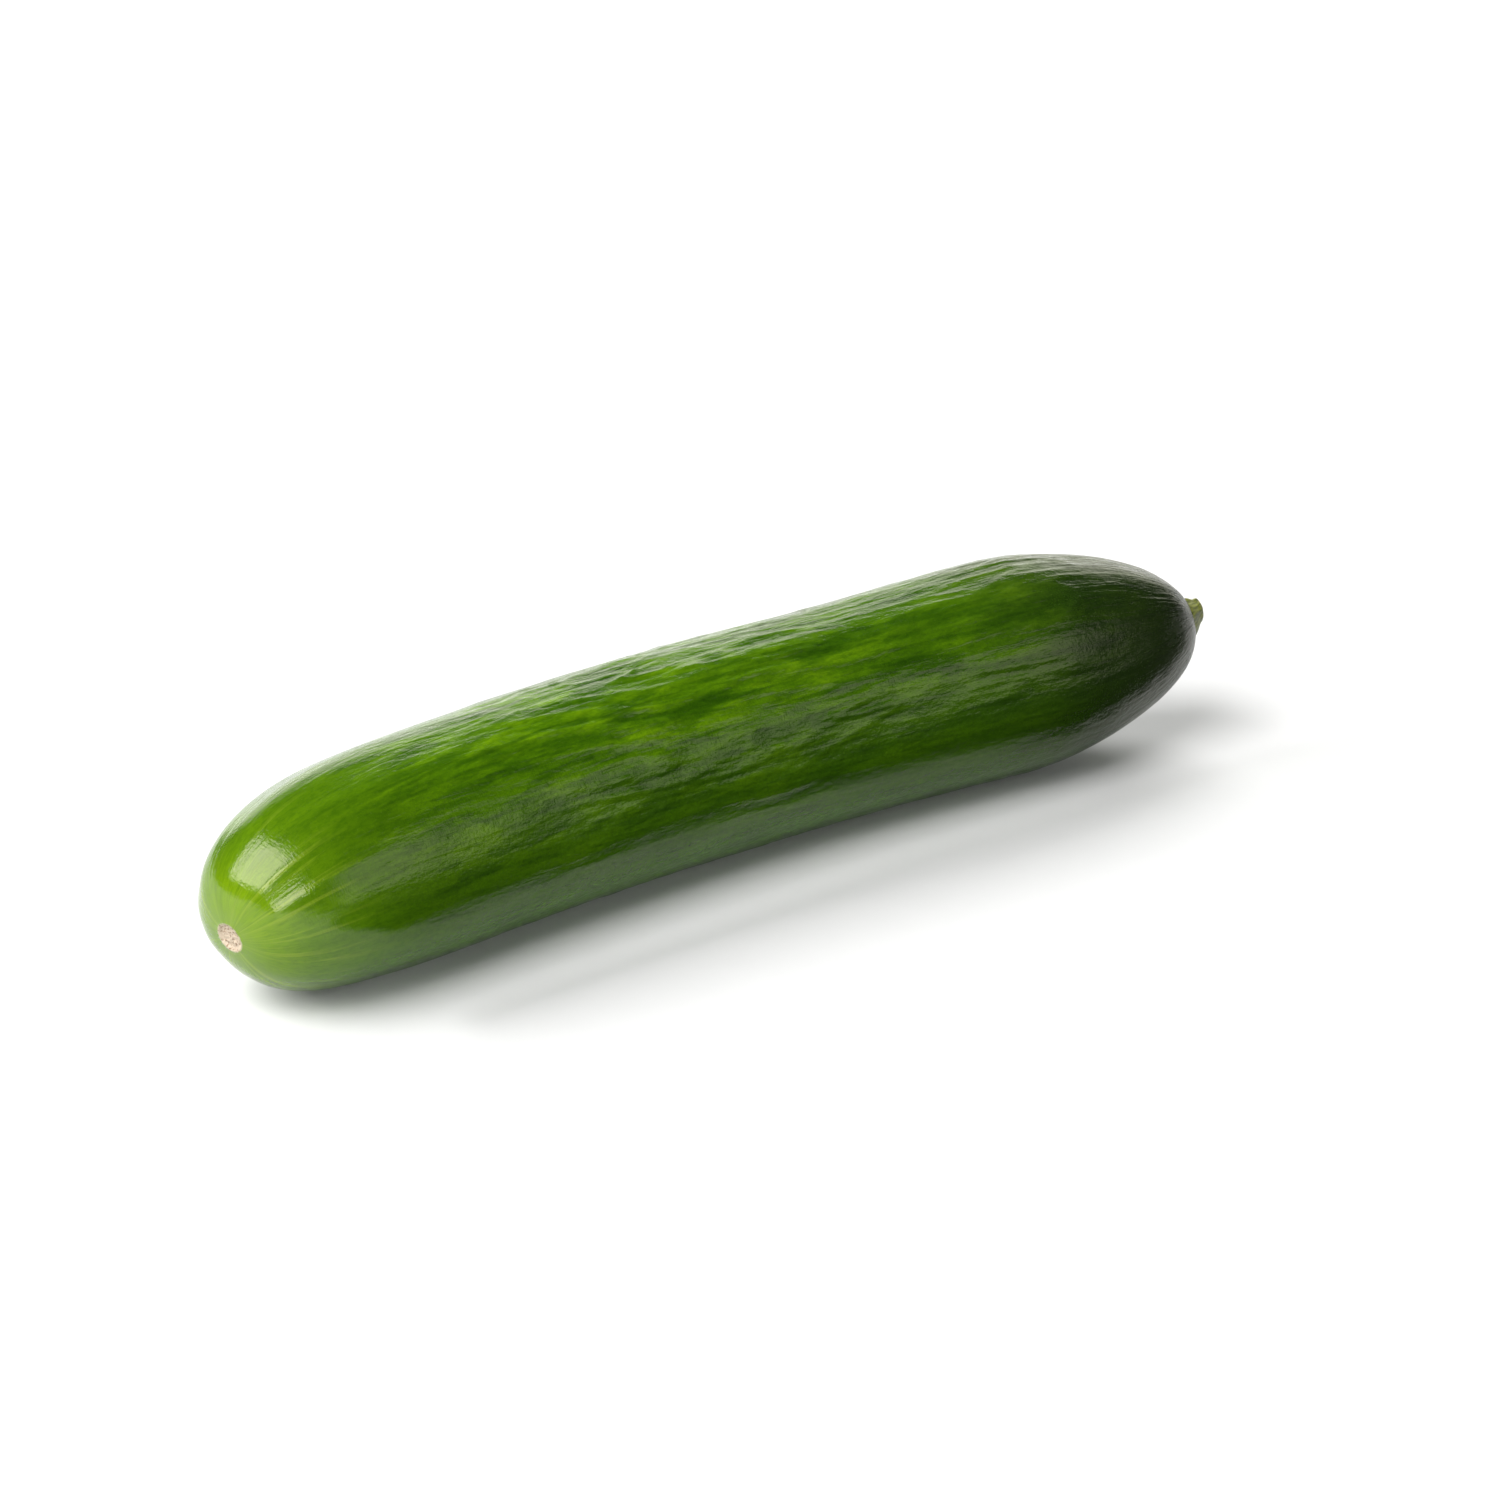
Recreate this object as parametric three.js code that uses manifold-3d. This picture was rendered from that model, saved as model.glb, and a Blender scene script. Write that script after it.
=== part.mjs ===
// A whole fresh cucumber of the long, smooth-skinned slicing kind, lying on its side.
// It has two pieces: the fruit, and the cut stub of the stem that it hung from.
// Units are millimetres. +Z is up, +X runs along the fruit towards its stem end, and the
// origin is on the table, under the middle of the fruit's box.
import * as THREE from "three";
import { mergeVertices } from "three/addons/utils/BufferGeometryUtils.js";
import Module from "manifold-3d";

// Driving dimensions of the fruit.
const LENGTH = 274; // from the blossom scar to the foot of the stem
const MID_RADIUS = 25.13;
const END_SWELL = 1.3; // the radius gained from the middle towards both ends
const STEM_SIDE_SWELL = 0.2; // half the difference in radius between the two ends
const WAIST = { depth: 0.17, at: 176, period: 134 }; // a shallow wave along the fruit
// Each end closes as a superellipse: (1 - x / length) ^ along + (r / R) ^ across = 1.
const BLOSSOM_END = { length: 66, along: 3.0, across: 2.8 };
const STEM_END = { length: 50.7, along: 1.56, across: 2.27 };

// The line through the middle of the fruit.
const SIDE_BOW = 12.6; // how far the middle lies to the +Y side of the ends
const END_BEND = 40; // the length of the last stretch, where the ends turn
const BLOSSOM_DROP = 5.4; // how far the blossom tip drops below the middle line
const STEM_RISE = 3.4; // how far the stem end rises above it
const STEM_TURN = 3.6; // how far the stem end turns to the -Y side

// Rounded ribs that run along the fruit: how many, how high, where they start around the
// girth, and how much they wander (in radians) over the fruit's length.
const RIBS = [
  { count: 3, height: 0.36, phase: -0.37, wander: 0.3 },
  { count: 5, height: 0.25, phase: 3.57, wander: -0.7 },
  { count: 10, height: 0.15, phase: 2.3, wander: 0.9 },
];

// The dry disc where the flower fell: a shallow hollow with a sloping rim.
const SCAR = { radius: 3.3, edge: 0.5, rimDepth: 0.18, depth: 0.55 };
const REST_FLAT = 0.45; // how much of the skin's lowest line is pressed flat by the table

// Driving dimensions of the stem stub.
const STEM_LENGTH = 3.6;
const STEM_RADIUS = 3.0;
const STEM_ROOT = -3; // the stub starts inside the fruit, and is trimmed to the skin afterwards
const STEM_FOOT = { radius: 4.8, height: 2.2 }; // the flare where it joins the fruit
const STEM_RIBS = { count: 5, height: 0.3, phase: 0.3 };
const STEM_LEAN = { side: 2.9, up: 0.5, curve: 1.5 }; // how far the cut end leans to +Y, and up
const CUT_BEVEL = 0.4;
const JOINT_GAP = 0.3;

const GIRTH_STEPS = 64;
const BODY_STEPS = 28;
const BLOSSOM_STEPS = 17;
const STEM_END_STEPS = 13;
const STEM_GIRTH_STEPS = 40;
const STEM_FLARE_STEPS = 8;
const DIRECTION_STEP = 0.5; // half the stretch that the middle line's direction is taken over
const WELD_DISTANCE = 1e-3; // points closer together than this become one

const FRUIT_SKIN = new THREE.MeshStandardMaterial({ color: 0x3d6b12, roughness: 0.35, metalness: 0 });
const STEM_SKIN = new THREE.MeshStandardMaterial({ color: 0x6f7d38, roughness: 0.6, metalness: 0 });

const fromMiddle = (x) => (2 * x) / LENGTH - 1; // -1 at the blossom end, 1 at the stem end
const smooth = (t) => THREE.MathUtils.smoothstep(t, 0, 1);

// The radius that the fruit would have without its closed ends.
function openRadius(x) {
  const q = fromMiddle(x);
  const wave = Math.cos((2 * Math.PI * (x - WAIST.at)) / WAIST.period);
  return MID_RADIUS + STEM_SIDE_SWELL * q + END_SWELL * q * q - WAIST.depth * wave;
}

// The middle line at a distance x from the blossom end.
function middleLine(x) {
  const q = fromMiddle(x);
  const nearBlossom = Math.max(0, 1 - x / END_BEND);
  const nearStem = Math.max(0, 1 - (LENGTH - x) / END_BEND);
  const bow = SIDE_BOW * (1 - q * q) - STEM_TURN * nearStem ** 2;
  const lift = STEM_RISE * nearStem ** 2 - BLOSSOM_DROP * nearBlossom ** 2;
  return new THREE.Vector3(x - LENGTH / 2, bow, openRadius(x) + lift);
}

// The section's own axes there: along the fruit, level across it, and up.
function sectionAxes(x) {
  const ahead = middleLine(x + DIRECTION_STEP);
  const along = ahead.sub(middleLine(x - DIRECTION_STEP)).normalize();
  const across = along.clone().cross(new THREE.Vector3(0, 0, 1)).normalize();
  const up = across.clone().cross(along);
  return { along, across, up };
}

function ribHeight(angle, x) {
  let height = 0;
  for (const rib of RIBS) {
    height += rib.height * Math.cos(rib.count * angle + rib.phase + (rib.wander * x) / LENGTH);
  }
  return height;
}

// The outline of one end as [x from the tip, share of the full radius], tip first.
function endOutline(end, steps) {
  const points = [];
  for (let i = 1; i <= steps; i++) {
    const turn = (i / steps) * (Math.PI / 2);
    const x = end.length * (1 - Math.cos(turn) ** (2 / end.along));
    points.push([x, Math.sin(turn) ** (2 / end.across)]);
  }
  return points;
}

// The half outline of the fruit as [x, radius] from the blossom tip to the stem end.
function fruitOutline() {
  const { radius, edge, rimDepth, depth } = SCAR;
  const outline = [[depth, 0], [depth, radius - edge], [rimDepth, radius], [0, radius + edge]];
  for (const [x, share] of endOutline(BLOSSOM_END, BLOSSOM_STEPS)) {
    outline.push([x, share * openRadius(x)]);
  }
  const bodyLength = LENGTH - BLOSSOM_END.length - STEM_END.length;
  for (let i = 1; i < BODY_STEPS; i++) {
    const x = BLOSSOM_END.length + (bodyLength * i) / BODY_STEPS;
    outline.push([x, openRadius(x)]);
  }
  for (const [fromTip, share] of endOutline(STEM_END, STEM_END_STEPS).reverse()) {
    outline.push([LENGTH - fromTip, share * openRadius(LENGTH - fromTip)]);
  }
  outline.push([LENGTH, 0]);
  return outline;
}

// A lathed outline whose points are then moved one by one: bend(x, radius, angle).
function bentLathe(outline, girthSteps, bend) {
  const profile = outline.map(([x, r]) => new THREE.Vector2(r, x));
  const geometry = new THREE.LatheGeometry(profile, girthSteps);
  const position = geometry.getAttribute("position");
  for (let i = 0; i < position.count; i++) {
    const angle = Math.atan2(position.getX(i), position.getZ(i));
    const radius = Math.hypot(position.getX(i), position.getZ(i));
    const point = bend(position.getY(i), radius, angle);
    position.setXYZ(i, point.x, point.y, point.z);
  }
  return geometry;
}

function placeOnFruit(x, radius, angle) {
  const { across, up } = sectionAxes(x);
  const fade = smooth(radius / MID_RADIUS);
  const r = radius + fade * ribHeight(angle, x);
  return middleLine(x)
    .addScaledVector(across, r * Math.sin(angle))
    .addScaledVector(up, r * Math.cos(angle));
}

// The stub's half outline as [distance from the fruit, radius], from inside the fruit to the cut.
function stemOutline() {
  const outline = [[STEM_ROOT, 0]];
  for (let i = 0; i <= STEM_FLARE_STEPS; i++) {
    const distance = STEM_ROOT + ((STEM_FOOT.height - STEM_ROOT) * i) / STEM_FLARE_STEPS;
    const flare = 1 - smooth(Math.max(0, distance) / STEM_FOOT.height);
    outline.push([distance, STEM_RADIUS + (STEM_FOOT.radius - STEM_RADIUS) * flare]);
  }
  outline.push([(STEM_FOOT.height + STEM_LENGTH) / 2, STEM_RADIUS]);
  outline.push([STEM_LENGTH - CUT_BEVEL, STEM_RADIUS]);
  outline.push([STEM_LENGTH, STEM_RADIUS - CUT_BEVEL]);
  outline.push([STEM_LENGTH, 0]);
  return outline;
}

function placeOnStem(distance, radius, angle) {
  const { along, across, up } = sectionAxes(LENGTH);
  const rib = STEM_RIBS.height * Math.cos(STEM_RIBS.count * angle + STEM_RIBS.phase);
  const r = radius * (1 + rib / STEM_RADIUS);
  const lean = Math.max(0, distance / STEM_LENGTH) ** STEM_LEAN.curve;
  return middleLine(LENGTH)
    .addScaledVector(along, distance)
    .addScaledVector(across, r * Math.sin(angle) - STEM_LEAN.side * lean)
    .addScaledVector(up, r * Math.cos(angle) + STEM_LEAN.up * lean);
}

const wasm = await Module();
wasm.setup();

function toSolid(geometry) {
  const bare = geometry.clone().deleteAttribute("normal").deleteAttribute("uv");
  const merged = mergeVertices(bare, WELD_DISTANCE);
  return new wasm.Manifold(
    new wasm.Mesh({
      numProp: 3,
      vertProperties: new Float32Array(merged.getAttribute("position").array),
      triVerts: new Uint32Array(merged.getIndex().array),
    }),
  );
}

function toGeometry(solid) {
  const mesh = solid.getMesh();
  const geometry = new THREE.BufferGeometry();
  geometry.setAttribute("position", new THREE.BufferAttribute(mesh.vertProperties, mesh.numProp));
  geometry.setIndex(new THREE.BufferAttribute(mesh.triVerts, 1));
  return geometry;
}

// The fruit, with its lowest line pressed flat where it rests.
const roundFruit = bentLathe(fruitOutline(), GIRTH_STEPS, placeOnFruit);
roundFruit.computeBoundingBox();
const tableHeight = roundFruit.boundingBox.min.z + REST_FLAT;
const belowTable = new THREE.BoxGeometry(2 * LENGTH, LENGTH, LENGTH);
belowTable.translate(0, 0, tableHeight - LENGTH / 2);
const fruitSolid = toSolid(roundFruit).subtract(toSolid(belowTable));

// The stub, trimmed to the skin of the fruit and then moved off it by the joint gap.
const roundStem = bentLathe(stemOutline(), STEM_GIRTH_STEPS, placeOnStem);
const stemSolid = toSolid(roundStem).subtract(fruitSolid);

const fruit = new THREE.Mesh(toGeometry(fruitSolid), FRUIT_SKIN);
fruit.name = "fruit";
const stem = new THREE.Mesh(toGeometry(stemSolid), STEM_SKIN);
stem.name = "stem";
stem.position.copy(sectionAxes(LENGTH).along.multiplyScalar(JOINT_GAP));

// Everything is moved so that the origin is on the table under the middle of the box.
const placed = new THREE.Group();
placed.add(fruit, stem);
const box = new THREE.Box3().setFromObject(placed);
const centre = box.getCenter(new THREE.Vector3());
placed.position.set(-centre.x, -centre.y, -box.min.z);

const cucumber = new THREE.Group();
cucumber.add(placed);
export default cucumber;
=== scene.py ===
import math

import bpy
import numpy as np
from mathutils import Matrix, Vector, noise


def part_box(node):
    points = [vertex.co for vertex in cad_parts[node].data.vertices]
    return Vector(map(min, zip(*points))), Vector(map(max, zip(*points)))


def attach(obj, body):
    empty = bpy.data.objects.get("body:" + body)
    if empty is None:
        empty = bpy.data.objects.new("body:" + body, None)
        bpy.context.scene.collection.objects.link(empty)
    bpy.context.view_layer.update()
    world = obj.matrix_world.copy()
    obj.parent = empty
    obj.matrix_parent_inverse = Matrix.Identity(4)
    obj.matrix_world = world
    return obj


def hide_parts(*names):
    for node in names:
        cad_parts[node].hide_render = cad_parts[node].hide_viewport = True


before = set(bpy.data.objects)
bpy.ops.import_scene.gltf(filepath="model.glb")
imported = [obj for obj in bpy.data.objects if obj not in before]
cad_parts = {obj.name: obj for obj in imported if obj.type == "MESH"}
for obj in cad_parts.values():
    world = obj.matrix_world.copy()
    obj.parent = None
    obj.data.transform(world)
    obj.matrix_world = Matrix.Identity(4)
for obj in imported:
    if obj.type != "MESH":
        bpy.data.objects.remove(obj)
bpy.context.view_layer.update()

MM = 0.001

# The fruit, as in the CAD model.
LENGTH = 274.0
MID_RADIUS = 25.13
END_SWELL = 1.3
STEM_SIDE_SWELL = 0.2
WAIST_DEPTH, WAIST_AT, WAIST_PERIOD = 0.17, 176.0, 134.0
BLOSSOM_LENGTH, BLOSSOM_ALONG, BLOSSOM_ACROSS = 66.0, 3.0, 2.8
STEM_END_LENGTH, STEM_END_ALONG, STEM_END_ACROSS = 50.7, 1.56, 2.27
SIDE_BOW = 12.6
END_BEND = 40.0
BLOSSOM_DROP = 5.4
STEM_RISE = 3.4
STEM_TURN = 3.6
REST_FLAT = 0.45
# (count, height, phase, wander over the length)
RIBS = [(3, 0.36, -0.37, 0.3), (5, 0.25, 3.57, -0.7), (10, 0.15, 2.3, 0.9)]

# Tiny dimples: distance from the blossom tip, turn around from the top, width, depth.
PITS = [
    (214.0, 0.75, 0.9, 0.25),
    (168.0, 0.3, 0.8, 0.2),
    (133.0, 1.15, 0.9, 0.2),
    (92.0, 0.55, 0.7, 0.15),
    (238.0, 5.6, 0.9, 0.22),
    (150.0, 5.1, 0.9, 0.22),
    (76.0, 4.6, 0.8, 0.18),
]

# The blossom scar.
SCAR_RADIUS = 3.4
SCAR_DEPTH = 0.55
SCAR_REACH = 5.0  # nothing of the scar lies farther along the fruit than this

# The stem stub, as in the CAD model.
STEM_LENGTH = 3.6
STEM_RADIUS = 3.0
STEM_FOOT_RADIUS, STEM_FOOT_HEIGHT = 4.8, 2.2
STEM_LEAN_SIDE, STEM_LEAN_UP = 2.9, 0.5

# The stub's finer shape, which only the visual has.
STEM_SEAT = 0.05  # how far its foot stands off the fruit's tip
STEM_TILT = 0.1  # how much its rings turn with its lean
STEM_CURVE = 0.9  # its lean grows as this power of the distance
STEM_ROOT = -0.8  # it starts inside the fruit
STEM_EDGE = 1.5  # the round of the cut's edge
STEM_CUT_DISH = 0.5
STEM_SINK = 0.8  # how far the foot's rim follows the skin back
# (count, height, phase)
STEM_RIBS = [(5, 0.1, 1.3), (10, 0.05, 0.9)]

# The mesh: how finely each piece is divided.
GIRTH_STEPS = 280
SCAR_RINGS = 14
BLOSSOM_RINGS = 70
BODY_RINGS = 180
STEM_END_RINGS = 56
STEM_GIRTH_STEPS = 120
STEM_NECK_RINGS = 36
STEM_EDGE_RINGS = 12
STEM_CUT_RINGS = 12


# ---------------------------------------------------------------- shape of the fruit


def smooth(t):
    t = np.clip(t, 0.0, 1.0)
    return t * t * (3.0 - 2.0 * t)


def fade(value, start, end):
    """0 before start, 1 after end, smooth between; or the other way round if end < start."""
    return smooth((value - start) / (end - start))


def open_radius(x):
    q = 2.0 * x / LENGTH - 1.0
    wave = np.cos(2.0 * math.pi * (x - WAIST_AT) / WAIST_PERIOD)
    return MID_RADIUS + STEM_SIDE_SWELL * q + END_SWELL * q * q - WAIST_DEPTH * wave


def middle_line(x):
    q = 2.0 * x / LENGTH - 1.0
    near_blossom = np.maximum(0.0, 1.0 - x / END_BEND)
    near_stem = np.maximum(0.0, 1.0 - (LENGTH - x) / END_BEND)
    bow = SIDE_BOW * (1.0 - q * q) - STEM_TURN * near_stem**2
    lift = STEM_RISE * near_stem**2 - BLOSSOM_DROP * near_blossom**2
    return np.stack([x - LENGTH / 2.0, bow, open_radius(x) + lift], axis=-1)


def unit(v):
    return v / np.linalg.norm(v, axis=-1, keepdims=True)


def section_axes(x):
    """Unit vectors along the fruit, level across it (towards -Y), and up, at each x."""
    step = 0.5  # the direction is taken over twice this length
    along = unit(middle_line(x + step) - middle_line(x - step))
    across = unit(np.cross(along, [0.0, 0.0, 1.0]))
    return along, across, np.cross(across, along)


def end_outline(length, along, across, steps, first_share):
    """Points (distance from the tip, share of the full radius) from first_share to 1."""
    start = math.asin(first_share ** (across / 2.0))
    turn = np.linspace(start, math.pi / 2.0, steps)
    distance = length * (1.0 - np.cos(turn).clip(0.0) ** (2.0 / along))
    return distance, np.sin(turn) ** (2.0 / across)


def fruit_outline():
    """Arrays of the distance x from the blossom tip and the radius there, scar to stem."""
    scar_edge = SCAR_RADIUS + 0.3
    stem_share = 0.02  # the last ring before the stem-side tip
    r_scar = np.linspace(0.0, scar_edge, SCAR_RINGS, endpoint=False)
    x_scar = SCAR_DEPTH * (1.0 - fade(r_scar, SCAR_RADIUS - 0.7, SCAR_RADIUS + 0.2))
    x_tip, share = end_outline(
        BLOSSOM_LENGTH, BLOSSOM_ALONG, BLOSSOM_ACROSS, BLOSSOM_RINGS, scar_edge / MID_RADIUS
    )
    x_body = np.linspace(BLOSSOM_LENGTH, LENGTH - STEM_END_LENGTH, BODY_RINGS)[1:-1]
    from_end, end_share = end_outline(
        STEM_END_LENGTH, STEM_END_ALONG, STEM_END_ACROSS, STEM_END_RINGS, stem_share
    )
    x_end = LENGTH - from_end[::-1]
    x = np.concatenate([x_scar, x_tip, x_body, x_end, [LENGTH]])
    radius = np.concatenate(
        [
            r_scar,
            share * open_radius(x_tip),
            open_radius(x_body),
            end_share[::-1] * open_radius(x_end),
            [0.0],
        ]
    )
    return x, radius


def noise_field(points, seed):
    """Smooth noise in about -1..1 at each of an array of points, shifted by seed."""
    shift = Vector((17.3 * seed, -9.1 * seed, 5.7 * seed))
    flat = [noise.noise(Vector(p) + shift) for p in points.reshape(-1, 3)]
    return np.array(flat).reshape(points.shape[:-1])


def stacked(*values):
    """Arrays on the ring grid, broadcast together, as the last axis of one array."""
    return np.stack(np.broadcast_arrays(*values), axis=-1)


def skin_points(x, angle, radius, along_size, across_size):
    """Points on the skin for noise_field, so that its lumps have these sizes in mm."""
    r = np.maximum(radius, 0.5)
    level, upright = r * np.cos(angle) / across_size, r * np.sin(angle) / across_size
    return stacked(x / along_size, level, upright)


def rib_height(x, angle):
    height = np.zeros(np.broadcast(x, angle).shape)
    for count, tall, phase, wander in RIBS:
        height += tall * np.cos(count * angle + phase + wander * x / LENGTH)
    return height


def dome_ridges(x, angle):
    """Low rounded ridges that run out from the scar over the dome and die away."""
    strength = fade(x, 2.0, 16.0) * fade(x, 85.0, 30.0)
    wobble = 0.35 * np.sin(2.0 * angle + 1.0) + 0.2 * np.sin(3.0 * angle)
    return strength * (0.13 * np.cos(9.0 * angle + wobble + 0.4) + 0.03 * np.cos(19.0 * angle))


def wrinkles(x, angle, radius):
    """Low, wandering creases that run mostly along the fruit, in patches."""
    warp = 2.4 * noise_field(skin_points(x, angle, radius, 42.0, 18.0), 1)
    bent = angle + warp / MID_RADIUS
    crease = noise_field(skin_points(x, bent, radius, 27.0, 3.6), 2)
    fine = noise_field(skin_points(x, bent, radius, 16.0, 2.1), 3)
    ridge = (1.0 - np.abs(crease) * 2.2).clip(0.0, 1.0) ** 2
    thin = (1.0 - np.abs(fine) * 3.0).clip(0.0, 1.0) ** 2
    patchy = noise_field(skin_points(x, angle, radius, 30.0, 14.0), 4)
    patches = 0.5 + 0.8 * fade(patchy, -0.3, 0.4)
    zone = fade(x, 30.0, 110.0) * fade(x, LENGTH - 8.0, LENGTH - 50.0)
    zone = zone * (1.0 - 0.4 * fade(x, 130.0, 200.0))
    # Most on the upper shoulder of the side the fruit bows away from.
    upper = 0.35 + 0.65 * fade(np.cos(angle - 0.6), 0.55, 0.95)
    return zone * upper * patches * (0.4 * ridge + 0.15 * crease + 0.26 * thin + 0.1 * fine)


def dents(x, angle, radius):
    """Broad, shallow unevenness all over."""
    broad = noise_field(skin_points(x, angle, radius, 26.0, 13.0), 5)
    small = noise_field(skin_points(x, angle, radius, 7.0, 6.0), 6)
    ripples = noise_field(skin_points(x, angle, radius, 4.5, 10.0), 10)
    off_dome = fade(x, 20.0, 90.0)
    return 0.2 * broad + (0.11 * small + 0.045 * ripples) * off_dome


def pits(x, angle):
    """A few tiny dimples in the skin."""
    depth = np.zeros(np.broadcast(x, angle).shape)
    for place, turn, wide, deep in PITS:
        around = MID_RADIUS * (np.mod(angle - turn + math.pi, 2.0 * math.pi) - math.pi)
        depth += deep * np.exp(-(((x - place) / (1.4 * wide)) ** 2) - (around / wide) ** 2)
    return depth


def scar_grain(x, angle, radius):
    """The rough, corky floor and crumbly rim of the blossom scar."""
    place = stacked(radius * np.cos(angle), radius * np.sin(angle), 0.0 * x)
    floor = fade(radius, SCAR_RADIUS + 0.1, SCAR_RADIUS - 0.6)
    rim = np.exp(-(((radius - SCAR_RADIUS) / 0.35) ** 2))
    lumps = noise_field(place * 1.1, 7) * 0.3 + noise_field(place * 2.6, 8) * 0.12
    crumbs = noise_field(place * 1.9, 9)
    return floor * lumps + rim * (0.1 + 0.16 * crumbs)


def per_vertex(values):
    """Values on the ring grid, in the order of the mesh's vertices (poles are single)."""
    between = values[1:-1].reshape((-1,) + values.shape[2:])
    return np.concatenate([values[:1, 0], between, values[-1:, 0]])


def grid_mesh(name, points):
    """A closed mesh from points[ring, step], whose first and last rings are single points."""
    rings, steps = points.shape[:2]
    vertices = [tuple(point) for point in per_vertex(points)]

    def index(ring, step):
        if ring == 0:
            return 0
        if ring == rings - 1:
            return len(vertices) - 1
        return 1 + (ring - 1) * steps + step % steps

    faces = []
    for ring in range(rings - 1):
        for step in range(steps):
            corners = [
                index(ring, step),
                index(ring, step + 1),
                index(ring + 1, step + 1),
                index(ring + 1, step),
            ]
            # At the two tips one corner comes twice, and the face is a triangle.
            faces.append(list(dict.fromkeys(corners)))
    mesh = bpy.data.meshes.new(name)
    mesh.from_pydata(vertices, [], faces)
    mesh.update()
    return mesh


def add_float_attribute(mesh, name, values):
    attribute = mesh.attributes.new(name, "FLOAT", "POINT")
    attribute.data.foreach_set("value", values.astype(np.float32))


def add_vector_attribute(mesh, name, values):
    attribute = mesh.attributes.new(name, "FLOAT_VECTOR", "POINT")
    attribute.data.foreach_set("vector", values.astype(np.float32).ravel())


def add_unwrap(mesh, rings, steps):
    """A clean unwrap: along the fruit is u, around it is v."""
    layer = mesh.uv_layers.new(name="OFBake")
    corner_uv = []
    for ring in range(rings - 1):
        for step in range(steps):
            corners = [(ring, step), (ring, step + 1), (ring + 1, step + 1), (ring + 1, step)]
            if ring == 0:
                corners = [(0, step + 0.5), (1, step + 1), (1, step)]
            elif ring == rings - 2:
                corners = [(ring, step), (ring, step + 1), (ring + 1, step + 0.5)]
            corner_uv += [(r / (rings - 1), s / steps) for r, s in corners]
    layer.data.foreach_set("uv", np.array(corner_uv, np.float32).ravel())


def add_object(name, mesh, materials):
    piece = bpy.data.objects.new(name, mesh)
    bpy.context.scene.collection.objects.link(piece)
    for material in materials:
        mesh.materials.append(material)
    mesh.polygons.foreach_set("use_smooth", [True] * len(mesh.polygons))
    return piece


def fruit_surface(relief):
    """The skin's points in mm, on a grid of rings, and the grid's x, angle and radius."""
    x, radius = fruit_outline()
    angle = np.linspace(0.0, 2.0 * math.pi, GIRTH_STEPS, endpoint=False)
    x, radius, angle = x[:, None], radius[:, None], angle[None, :]
    r = radius + smooth(radius / MID_RADIUS) * rib_height(x, angle)
    if relief:
        off_scar = fade(radius, 3.5, 9.0)
        uneven = wrinkles(x, angle, radius) + dents(x, angle, radius) + dome_ridges(x, angle)
        r = r + off_scar * uneven
        r = r - pits(x, angle)
    along, across, up = section_axes(x[:, 0])
    points = (
        middle_line(x[:, 0])[:, None, :]
        + across[:, None, :] * (r * np.sin(angle))[..., None]
        + up[:, None, :] * (r * np.cos(angle))[..., None]
    )
    if relief:
        grain = scar_grain(x, angle, radius)[..., None]
        points = points - along[:, None, :] * grain * (x < SCAR_REACH)[..., None]
    return points, x, angle, radius


def table_offset(points):
    """The move, in mm, that brings the smooth fruit to where the CAD model has it."""
    low, high = (np.array(corner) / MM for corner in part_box("fruit"))
    flat = points.reshape(-1, 3)
    smooth_middle = (flat.min(0) + flat.max(0)) / 2.0
    cad_middle = (low + high) / 2.0
    offset = cad_middle - smooth_middle
    offset[2] = -flat[:, 2].min() - REST_FLAT
    return offset


def rest_on_table(points):
    """The skin's lowest line gives way on the table, with a soft shoulder."""
    soft = 0.25
    z = points[..., 2]
    pressed = soft * np.exp((np.minimum(z, soft) - soft) / soft) * 0.999
    points[..., 2] = np.where(z < soft, pressed, z)
    return points


def make_fruit(material):
    """The fruit on the table; returns its move, in mm, for the stem to follow."""
    offset = table_offset(fruit_surface(relief=False)[0])
    points, x, angle, radius = fruit_surface(relief=True)
    points = rest_on_table(points + offset)
    mesh = grid_mesh("cucumber_fruit", points * MM)
    crest = wrinkles(x, angle, radius) + 0.0 * points[..., 0]
    add_float_attribute(mesh, "crest", per_vertex(crest))
    place = stacked(x / MID_RADIUS, np.cos(angle), np.sin(angle))
    add_vector_attribute(mesh, "skin", per_vertex(place))
    spread = stacked(radius * np.cos(angle), radius * np.sin(angle), 0.0 * x)
    add_vector_attribute(mesh, "scar_place", per_vertex(spread))
    on_scar = (x < SCAR_REACH) * fade(radius, SCAR_RADIUS + 0.35, SCAR_RADIUS - 0.05)
    add_float_attribute(mesh, "scar", per_vertex(on_scar + 0.0 * angle))
    add_unwrap(mesh, *points.shape[:2])
    fruit = add_object("cucumber_fruit", mesh, [material])
    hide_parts("fruit")
    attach(fruit, "root")
    return offset


# ---------------------------------------------------------------- stem stub


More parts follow.
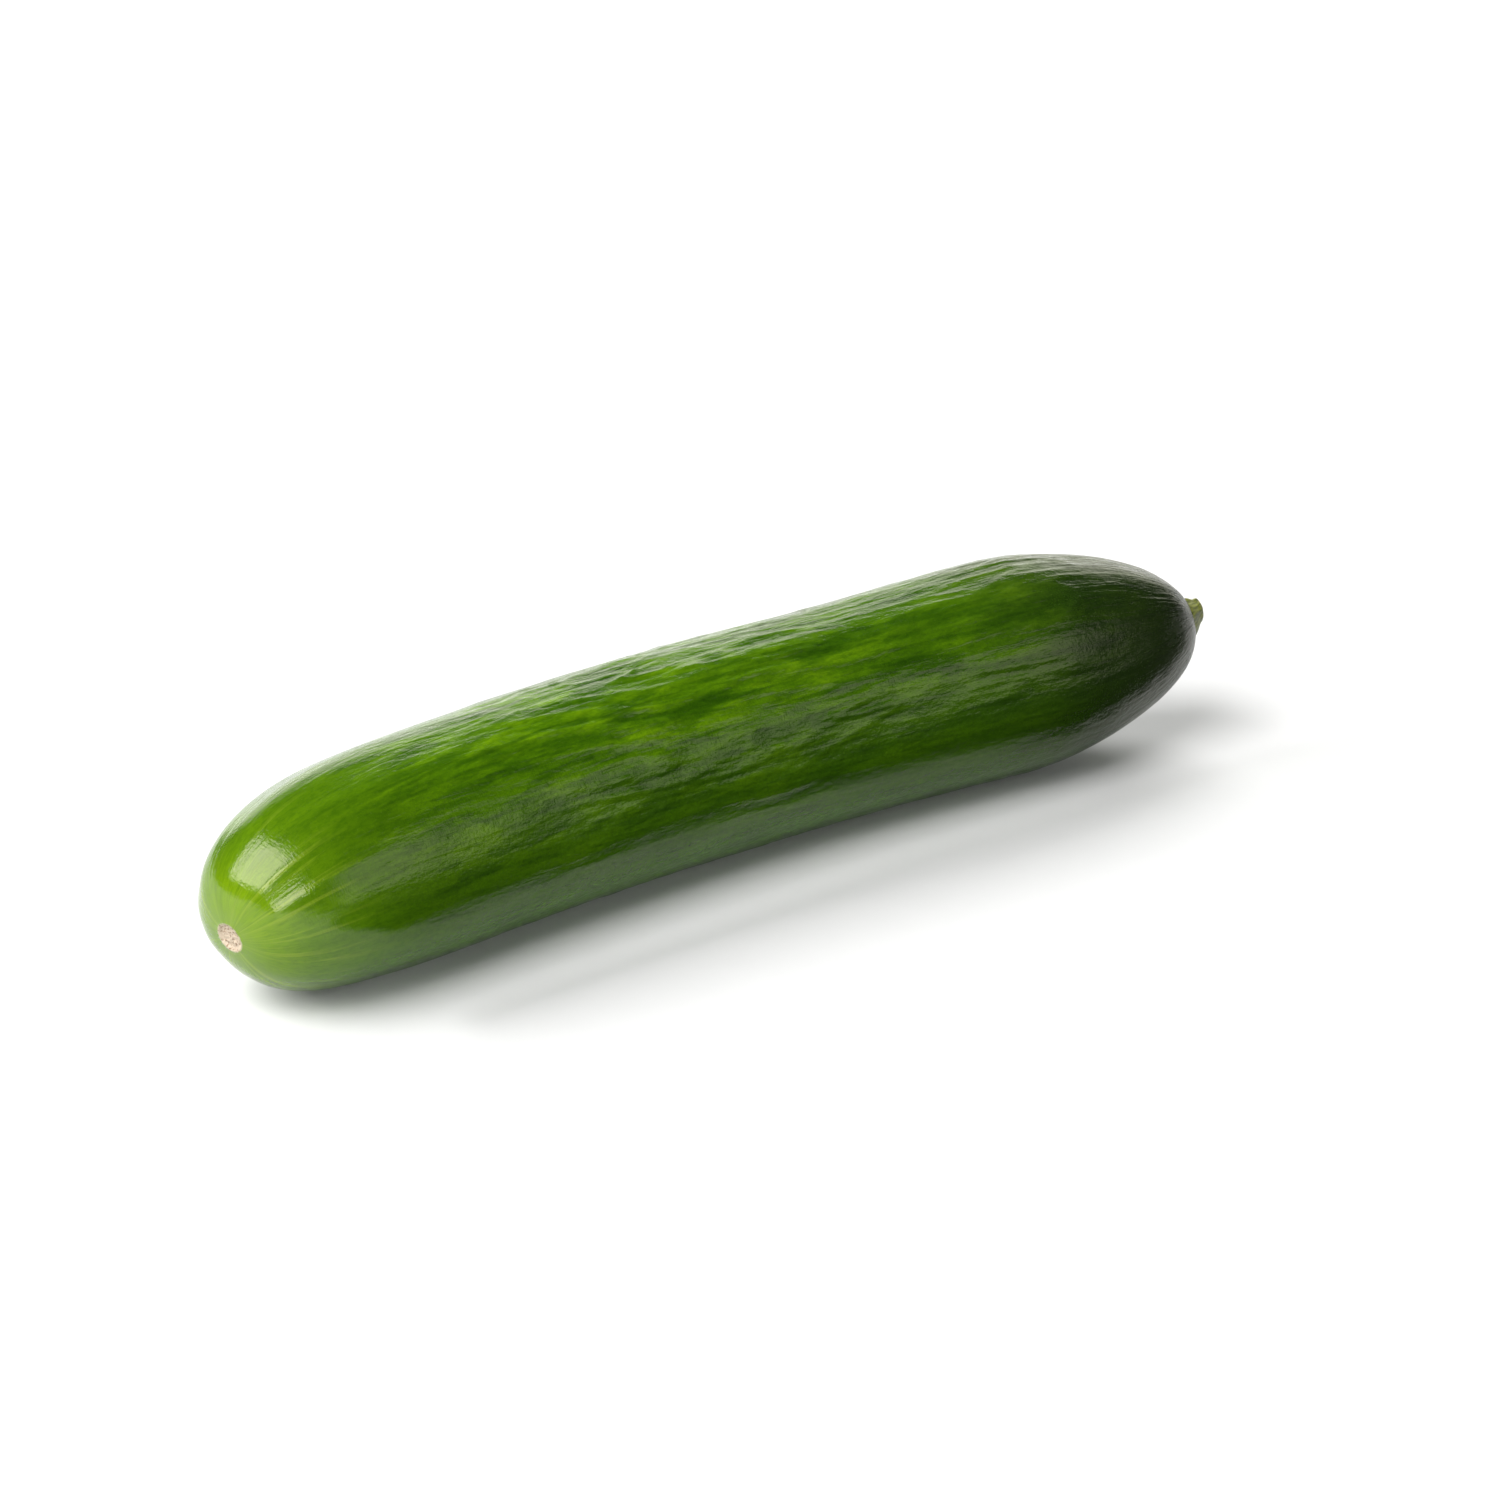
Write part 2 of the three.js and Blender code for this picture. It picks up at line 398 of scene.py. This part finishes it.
def stem_outline():
    """Distance from the fruit and radius, from inside the fruit's skin out to the cut."""
    neck = np.linspace(STEM_ROOT, STEM_LENGTH - STEM_EDGE, STEM_NECK_RINGS)
    flare = 1.0 - smooth(neck.clip(0.0) / STEM_FOOT_HEIGHT)
    neck_radius = STEM_RADIUS + (STEM_FOOT_RADIUS - STEM_RADIUS) * flare
    turn = np.linspace(0.0, math.pi / 2.0, STEM_EDGE_RINGS)[1:]
    edge = STEM_LENGTH - STEM_EDGE + STEM_EDGE * np.sin(turn)
    edge_radius = STEM_RADIUS - STEM_EDGE + STEM_EDGE * np.cos(turn)
    cut_radius = np.linspace(STEM_RADIUS - STEM_EDGE, 0.0, STEM_CUT_RINGS)[1:]
    cut = STEM_LENGTH - STEM_CUT_DISH * smooth(1.0 - cut_radius / (STEM_RADIUS - STEM_EDGE))
    distance = np.concatenate([[STEM_ROOT], neck, edge, cut])
    radius = np.concatenate([[0.0], neck_radius, edge_radius, cut_radius])
    return distance, radius


def make_stem(offset, material):
    distance, radius = stem_outline()
    angle = np.linspace(0.0, 2.0 * math.pi, STEM_GIRTH_STEPS, endpoint=False)
    tip = np.array([LENGTH])
    along, across, up = (axis[0] for axis in section_axes(tip))
    lean = (STEM_LEAN_UP * up - STEM_LEAN_SIDE * across) / STEM_LENGTH
    share = (distance / STEM_LENGTH).clip(0.0)[:, None]
    centre = middle_line(tip) + along * (distance[:, None] + STEM_SEAT)
    centre = centre + lean * STEM_LENGTH * share**STEM_CURVE
    # Each ring tilts a little with the lean, and the cut with them.
    facing = unit(along + STEM_TILT * share * lean)
    ring_across = unit(across - facing * (facing @ across)[:, None])
    ring_up = np.cross(ring_across, facing)
    distance, radius, angle = distance[:, None], radius[:, None], angle[None, :]
    ribs = sum(height * np.cos(count * angle + phase) for count, height, phase in STEM_RIBS)
    grain = noise_field(skin_points(distance, angle, radius, 2.6, 1.0), 11)
    r = radius * (1.0 + ribs / STEM_RADIUS) + 0.1 * grain * fade(radius, 0.2, 1.5)
    points = (
        centre[:, None, :]
        + ring_across[:, None, :] * (r * np.sin(angle))[..., None]
        + ring_up[:, None, :] * (r * np.cos(angle))[..., None]
    )
    sink = STEM_SINK * (radius / STEM_FOOT_RADIUS) ** 2 * fade(distance, STEM_FOOT_HEIGHT, 0.0)
    points = points - along * (sink + 0.0 * angle)[..., None]
    mesh = grid_mesh("cucumber_stem", (points + offset) * MM)
    cut = (distance > STEM_LENGTH / 2.0) * fade(radius, STEM_RADIUS - 0.25, STEM_RADIUS - 0.7)
    add_float_attribute(mesh, "cut", per_vertex(cut + 0.0 * angle))
    place = stacked(distance / STEM_RADIUS, np.cos(angle), np.sin(angle))
    add_vector_attribute(mesh, "skin", per_vertex(place))
    add_unwrap(mesh, *points.shape[:2])
    stem = add_object("cucumber_stem", mesh, [material])
    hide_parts("stem")
    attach(stem, "root")


# ---------------------------------------------------------------- materials


class Nodes:
    """Short calls for building a node material."""

    def __init__(self, name):
        self.material = bpy.data.materials.new(name)
        self.material.use_nodes = True
        self.tree = self.material.node_tree
        self.shader = self.tree.nodes["Principled BSDF"]

    def feed(self, socket, value):
        if isinstance(value, bpy.types.NodeSocket):
            self.tree.links.new(value, socket)
        elif isinstance(value, tuple) and len(value) == 3 and socket.type == "RGBA":
            socket.default_value = (*value, 1.0)
        else:
            socket.default_value = value

    def attribute(self, name, output="Fac"):
        node = self.tree.nodes.new("ShaderNodeAttribute")
        node.attribute_name = name
        return node.outputs[output]

    def math(self, operation, a, b):
        node = self.tree.nodes.new("ShaderNodeMath")
        node.operation = operation
        self.feed(node.inputs[0], a)
        self.feed(node.inputs[1], b)
        return node.outputs[0]

    def stretched(self, vector, scale):
        node = self.tree.nodes.new("ShaderNodeVectorMath")
        node.operation = "MULTIPLY"
        self.feed(node.inputs[0], vector)
        self.feed(node.inputs[1], scale)
        return node.outputs[0]

    def length(self, vector):
        node = self.tree.nodes.new("ShaderNodeVectorMath")
        node.operation = "LENGTH"
        self.feed(node.inputs[0], vector)
        return node.outputs["Value"]

    def noise(self, vector, scale, detail=2.0, roughness=0.5, distortion=0.0):
        node = self.tree.nodes.new("ShaderNodeTexNoise")
        self.feed(node.inputs["Vector"], vector)
        self.feed(node.inputs["Scale"], scale)
        self.feed(node.inputs["Detail"], detail)
        self.feed(node.inputs["Roughness"], roughness)
        self.feed(node.inputs["Distortion"], distortion)
        return node.outputs["Fac"]

    def cells(self, vector, scale):
        node = self.tree.nodes.new("ShaderNodeTexVoronoi")
        self.feed(node.inputs["Vector"], vector)
        self.feed(node.inputs["Scale"], scale)
        return node.outputs["Distance"]

    def remap(self, value, low, high, new_low=0.0, new_high=1.0):
        node = self.tree.nodes.new("ShaderNodeMapRange")
        node.interpolation_type = "SMOOTHSTEP"
        for socket, number in zip(node.inputs, (value, low, high, new_low, new_high)):
            self.feed(socket, number)
        return node.outputs["Result"]

    def mix(self, factor, a, b, blend="MIX"):
        node = self.tree.nodes.new("ShaderNodeMix")
        node.data_type = "RGBA"
        node.blend_type = blend
        colours = [s for s in node.inputs if s.type == "RGBA"]
        self.feed(node.inputs["Factor"], factor)
        self.feed(colours[0], a)
        self.feed(colours[1], b)
        return [s for s in node.outputs if s.type == "RGBA"][0]

    def tinted(self, colour, factors):
        """The colour times the three factors."""
        return self.mix(1.0, colour, factors, "MULTIPLY")

    def ramp(self, value, stops):
        node = self.tree.nodes.new("ShaderNodeValToRGB")
        self.feed(node.inputs[0], value)
        elements = node.color_ramp.elements
        while len(elements) < len(stops):
            elements.new(1.0)
        for element, (position, colour) in zip(elements, stops):
            element.position = position
            element.color = (*colour, 1.0)
        return node.outputs["Color"]

    def separate(self, vector):
        node = self.tree.nodes.new("ShaderNodeSeparateXYZ")
        self.feed(node.inputs[0], vector)
        return node.outputs

    def bump(self, height, distance, strength=1.0, normal=None):
        node = self.tree.nodes.new("ShaderNodeBump")
        self.feed(node.inputs["Height"], height)
        self.feed(node.inputs["Distance"], distance)
        self.feed(node.inputs["Strength"], strength)
        if normal is not None:
            self.feed(node.inputs["Normal"], normal)
        return node.outputs["Normal"]


def linear(red, green, blue):
    """An sRGB colour given as 0..255, in linear light."""
    def channel(c):
        c /= 255.0
        return c / 12.92 if c <= 0.04045 else ((c + 0.055) / 1.055) ** 2.4
    return tuple(channel(c) for c in (red, green, blue))


def skin_material():
    n = Nodes("cucumber_skin")
    skin = n.attribute("skin", "Vector")
    x = n.math("DIVIDE", n.separate(skin)[0], LENGTH / MID_RADIUS)
    # Body colour along the fruit: yellow-green dome, mid green, and a dark stem end that is
    # partly the fruit's own darker green and partly painted shade where the light falls off.
    body = n.ramp(
        x,
        [
            (0.0, linear(100, 130, 8)),
            (0.03, linear(79, 112, 6)),
            (0.08, linear(68, 102, 4)),
            (0.2, linear(65, 102, 2)),
            (0.45, linear(61, 98, 2)),
            (0.74, linear(55, 89, 3)),
            (0.87, linear(31, 52, 7)),
            (1.0, linear(24, 37, 10)),
        ],
    )
    # Short soft dashes and blotches, calm on the dome, towards the stem and underneath.
    upward = n.separate(skin)[1]
    calm = n.math("MULTIPLY", n.remap(x, 0.02, 0.2, 0.2, 1.0), n.remap(x, 1.0, 0.6, 0.5, 1.0))
    calm = n.math("MULTIPLY", calm, n.remap(upward, -0.3, 0.2, 0.45, 1.0))
    streaks = n.noise(n.stretched(skin, (0.15, 1.0, 1.0)), 7.0, 3.5, 0.54, 0.15)
    dark = n.math("MULTIPLY", n.remap(streaks, 0.56, 0.4), calm)
    body = n.mix(dark, body, n.tinted(body, (0.54, 0.64, 0.8)))
    dashes = n.noise(n.stretched(skin, (0.12, 1.0, 1.0)), 10.0, 2.0, 0.5, 0.2)
    thin = n.math("MULTIPLY", n.remap(dashes, 0.46, 0.36), calm)
    body = n.mix(thin, body, n.tinted(body, (0.62, 0.7, 0.8)))
    blotch = n.noise(n.stretched(skin, (0.36, 1.0, 1.0)), 4.6, 3.0, 0.55, 0.4)
    pale = n.math("MULTIPLY", n.remap(blotch, 0.47, 0.64), calm)
    pale = n.math("MULTIPLY", pale, n.remap(upward, 0.0, 0.5, 0.5, 1.0))
    body = n.mix(pale, body, n.tinted(body, (1.52, 1.35, 1.25)))
    # Painted shade: a little darker below the shoulder, on the side that turns down.
    body = n.mix(n.remap(upward, 0.35, -0.1), body, n.tinted(body, (0.89, 0.94, 0.92)))
    # Painted highlight on the crests of the wrinkles, and painted shade in the creases between
    # them.
    crest = n.remap(n.attribute("crest"), 0.08, 0.3)
    body = n.mix(crest, body, n.tinted(body, (1.3, 1.2, 1.6)))
    crease_shade = n.remap(n.attribute("crest"), 0.05, -0.08)
    body = n.mix(crease_shade, body, n.tinted(body, (0.68, 0.76, 0.8)))
    # A fine grain over everything.
    grain = n.noise(n.stretched(skin, (0.5, 1.0, 1.0)), 30.0, 4.0, 0.7)
    body = n.mix(n.remap(grain, 0.56, 0.4), body, n.tinted(body, (0.8, 0.85, 0.86)))
    # Thin yellow-green rays from the scar.
    across = n.stretched(skin, (0.04, 1.0, 1.0))
    rays = n.remap(n.noise(across, 8.0, 4.0, 0.65), 0.53, 0.64)
    near_scar = n.remap(x, 0.012, 0.11, 0.34, 0.0)
    rays = n.math("MULTIPLY", rays, near_scar)
    body = n.mix(rays, body, linear(134, 154, 44))
    # Tiny pale pores.
    pores = n.remap(n.cells(skin, 26.0), 0.06, 0.16, 0.25, 0.0)
    body = n.mix(pores, body, linear(90, 112, 50))
    # The scar: cream cork with brown specks.
    place = n.attribute("scar_place", "Vector")
    cork = n.mix(n.noise(place, 1.3, 4.0, 0.65), linear(158, 142, 122), linear(188, 178, 162))
    specks = n.remap(n.noise(place, 1.5, 3.0, 0.6), 0.54, 0.6)
    cork = n.mix(n.math("MULTIPLY", specks, 0.8), cork, linear(96, 66, 42))
    scar = n.attribute("scar")
    n.feed(n.shader.inputs["Base Color"], n.mix(scar, body, cork))
    # Waxy gloss, duller in patches, and dull on the scar.
    dull = n.noise(n.stretched(skin, (0.6, 1.0, 1.0)), 5.0, 3.0, 0.6)
    gloss = n.remap(dull, 0.3, 0.75, 0.15, 0.22)
    gloss = n.math("ADD", gloss, n.remap(x, 0.06, 0.2, -0.07, 0.0))
    gloss = n.math("ADD", gloss, n.remap(x, 0.8, 0.95, 0.0, 0.07))
    rough = n.math("ADD", gloss, n.math("MULTIPLY", scar, 0.55))
    n.feed(n.shader.inputs["Roughness"], rough)
    n.feed(n.shader.inputs["Specular Tint"], (1.0, 0.94, 0.8))
    # Fine cross striations, short lengthwise crinkles and micro lumps.
    off_dome = n.remap(x, 0.03, 0.2, 0.2, 1.0)
    striae = n.noise(n.stretched(skin, (1.0, 0.22, 0.22)), 60.0, 2.0, 0.6)
    lumps = n.noise(n.stretched(skin, (0.6, 1.0, 1.0)), 22.0, 3.0, 0.6)
    crinkles = n.noise(n.stretched(skin, (0.13, 1.0, 1.0)), 14.0, 3.0, 0.55, 0.3)
    normal = n.bump(striae, 0.00005)
    normal = n.bump(lumps, 0.00016, off_dome, normal)
    # Strongest on the upper side of the fruit.
    on_top = n.remap(upward, 0.3, 0.8, 0.35, 1.0)
    normal = n.bump(crinkles, 0.00042, n.math("MULTIPLY", off_dome, on_top), normal)
    n.feed(n.shader.inputs["Normal"], normal)
    return n.material


def stem_material():
    n = Nodes("cucumber_stem_skin")
    skin = n.attribute("skin", "Vector")
    green = n.mix(
        n.remap(n.noise(n.stretched(skin, (0.3, 1.0, 1.0)), 6.0, 4.0, 0.6), 0.35, 0.65),
        linear(72, 82, 20),
        linear(140, 148, 58),
    )
    cut = n.attribute("cut")
    wood = n.mix(n.noise(skin, 9.0, 3.0, 0.6), linear(150, 130, 84), linear(206, 196, 150))
    n.feed(n.shader.inputs["Base Color"], n.mix(cut, green, wood))
    n.feed(n.shader.inputs["Roughness"], n.remap(cut, 0.0, 1.0, 0.42, 0.8))
    n.feed(n.shader.inputs["Normal"], n.bump(n.noise(skin, 14.0, 4.0, 0.6), 0.0002))
    return n.material


def floor_material():
    n = Nodes("pale_table")
    grain = n.noise(n.attribute("position", "Vector"), 90.0, 3.0, 0.6)
    n.feed(n.shader.inputs["Base Color"], n.mix(grain, (0.67, 0.7, 0.725), (0.69, 0.72, 0.745)))
    n.feed(n.shader.inputs["Roughness"], 0.75)
    n.feed(n.shader.inputs["Specular IOR Level"], 0.2)
    # Far from the fruit, where the softboxes do not reach, the table glows white by itself.
    far = n.remap(n.length(n.attribute("position", "Vector")), 0.5, 1.1)
    n.feed(n.shader.inputs["Emission Color"], (1.0, 1.0, 1.0))
    n.feed(n.shader.inputs["Emission Strength"], far)
    return n.material


# ---------------------------------------------------------------- studio


def make_floor():
    half = 4.0
    mesh = bpy.data.meshes.new("table")
    corners = [(-half, -half, 0.0), (half, -half, 0.0), (half, half, 0.0), (-half, half, 0.0)]
    mesh.from_pydata(corners, [], [(0, 1, 2, 3)])
    floor = add_object("table", mesh, [floor_material()])


def make_dark_card():
    """A dark card beside the fruit, hidden from the camera, that gives its side depth."""
    near_edge, far_edge = -0.038, -0.078
    bottom, top = 0.008, 0.036
    # It starts in a point beside the dome and follows the bow of the fruit: places along it,
    # and how much nearer and higher it is there.
    corners = [(-0.125, (near_edge + far_edge) / 2.0, (bottom + top) / 2.0)]
    for along, nearer in ((-0.1, 0.001), (0.03, 0.007), (0.26, 0.0)):
        corners.append((along, near_edge + nearer, bottom))
        corners.append((along, far_edge + nearer, top + nearer))
    mesh = bpy.data.meshes.new("dark_card")
    mesh.from_pydata(corners, [], [(0, 1, 2), (1, 3, 4, 2), (3, 5, 6, 4)])
    n = Nodes("dark_card")
    n.feed(n.shader.inputs["Base Color"], (0.012, 0.02, 0.006))
    n.feed(n.shader.inputs["Roughness"], 0.9)
    card = add_object("dark_card", mesh, [n.material])
    card.visible_camera = False
    card.visible_shadow = False
    card.visible_transmission = False


def direction(azimuth, elevation):
    """The unit vector at an azimuth from +X towards +Y, and an elevation, in degrees."""
    a, e = math.radians(azimuth), math.radians(elevation)
    return Vector((math.cos(a) * math.cos(e), math.sin(a) * math.cos(e), math.sin(e)))


def add_softbox(name, azimuth, elevation, distance, width, height, radiance, colour, roll=0.0):
    """An area light that faces the fruit; radiance is how bright its face looks."""
    light = bpy.data.lights.new(name, "AREA")
    light.shape = "RECTANGLE"
    light.size = width
    light.size_y = height
    light.energy = radiance * width * height * math.pi
    light.color = colour
    lamp = bpy.data.objects.new(name, light)
    bpy.context.scene.collection.objects.link(lamp)
    heart = Vector((0.0, 0.0, 0.025))
    place = direction(azimuth, elevation) * distance + heart
    lamp.location = place
    facing = (heart - place).to_track_quat("-Z", "Y").to_matrix()
    lamp.rotation_euler = (facing @ Matrix.Rotation(math.radians(roll), 3, "Z")).to_euler()
    lamp.visible_camera = False
    return lamp


def make_lights():
    add_softbox("key_left", 179.0, 45.5, 1.8, 2.15, 1.6, 7.4, (1.0, 0.955, 0.92))
    add_softbox("front", -127.5, 17.5, 1.6, 1.1, 0.32, 7.5, (1.0, 0.97, 0.92), 34.0)
    add_softbox("right_front", -65.0, 17.5, 1.6, 1.15, 0.8, 1.2, (1.0, 1.0, 0.9))
    add_softbox("back", 54.0, 11.0, 2.2, 2.7, 1.4, 1.55, (1.0, 1.0, 0.86), -4.0)
    wash = add_softbox("backdrop_wash", 50.0, 32.0, 2.6, 2.0, 2.0, 7.0, (1.0, 0.955, 0.92))
    # It only lights the table behind, from straight above.
    wash.rotation_euler = (0.0, 0.0, 0.0)
    wash.visible_glossy = False


def make_world():
    world = bpy.data.worlds.new("studio")
    world.use_nodes = True
    tree = world.node_tree
    tree.nodes.clear()
    output = tree.nodes.new("ShaderNodeOutputWorld")
    room = tree.nodes.new("ShaderNodeBackground")
    room.inputs["Color"].default_value = (0.03, 0.03, 0.03, 1.0)
    wall = tree.nodes.new("ShaderNodeBackground")
    wall.inputs["Color"].default_value = (1.0, 1.0, 1.0, 1.0)
    path = tree.nodes.new("ShaderNodeLightPath")
    mix = tree.nodes.new("ShaderNodeMixShader")
    tree.links.new(path.outputs["Is Camera Ray"], mix.inputs[0])
    tree.links.new(room.outputs[0], mix.inputs[1])
    tree.links.new(wall.outputs[0], mix.inputs[2])
    tree.links.new(mix.outputs[0], output.inputs["Surface"])
    bpy.context.scene.world = world
    bpy.context.scene.view_settings.view_transform = "Standard"


CAMERA_TURN = 37.716
CAMERA_ELEVATION = 22.933
CAMERA_DISTANCE = 1.425
CAMERA_AIM = Vector((0.0080, -0.0038, 0.0246))
CAMERA_LENS = 148.3


def make_camera():
    data = bpy.data.cameras.new("camera")
    data.lens = CAMERA_LENS
    data.sensor_width = 36.0
    camera = bpy.data.objects.new("camera", data)
    bpy.context.scene.collection.objects.link(camera)
    towards = direction(-90.0 - CAMERA_TURN, CAMERA_ELEVATION)
    camera.location = CAMERA_AIM + towards * CAMERA_DISTANCE
    camera.rotation_euler = (-towards).to_track_quat("-Z", "Y").to_euler()
    bpy.context.scene.camera = camera


make_camera()
stem_offset = make_fruit(skin_material())
make_stem(stem_offset, stem_material())
make_floor()
make_dark_card()
make_lights()
make_world()
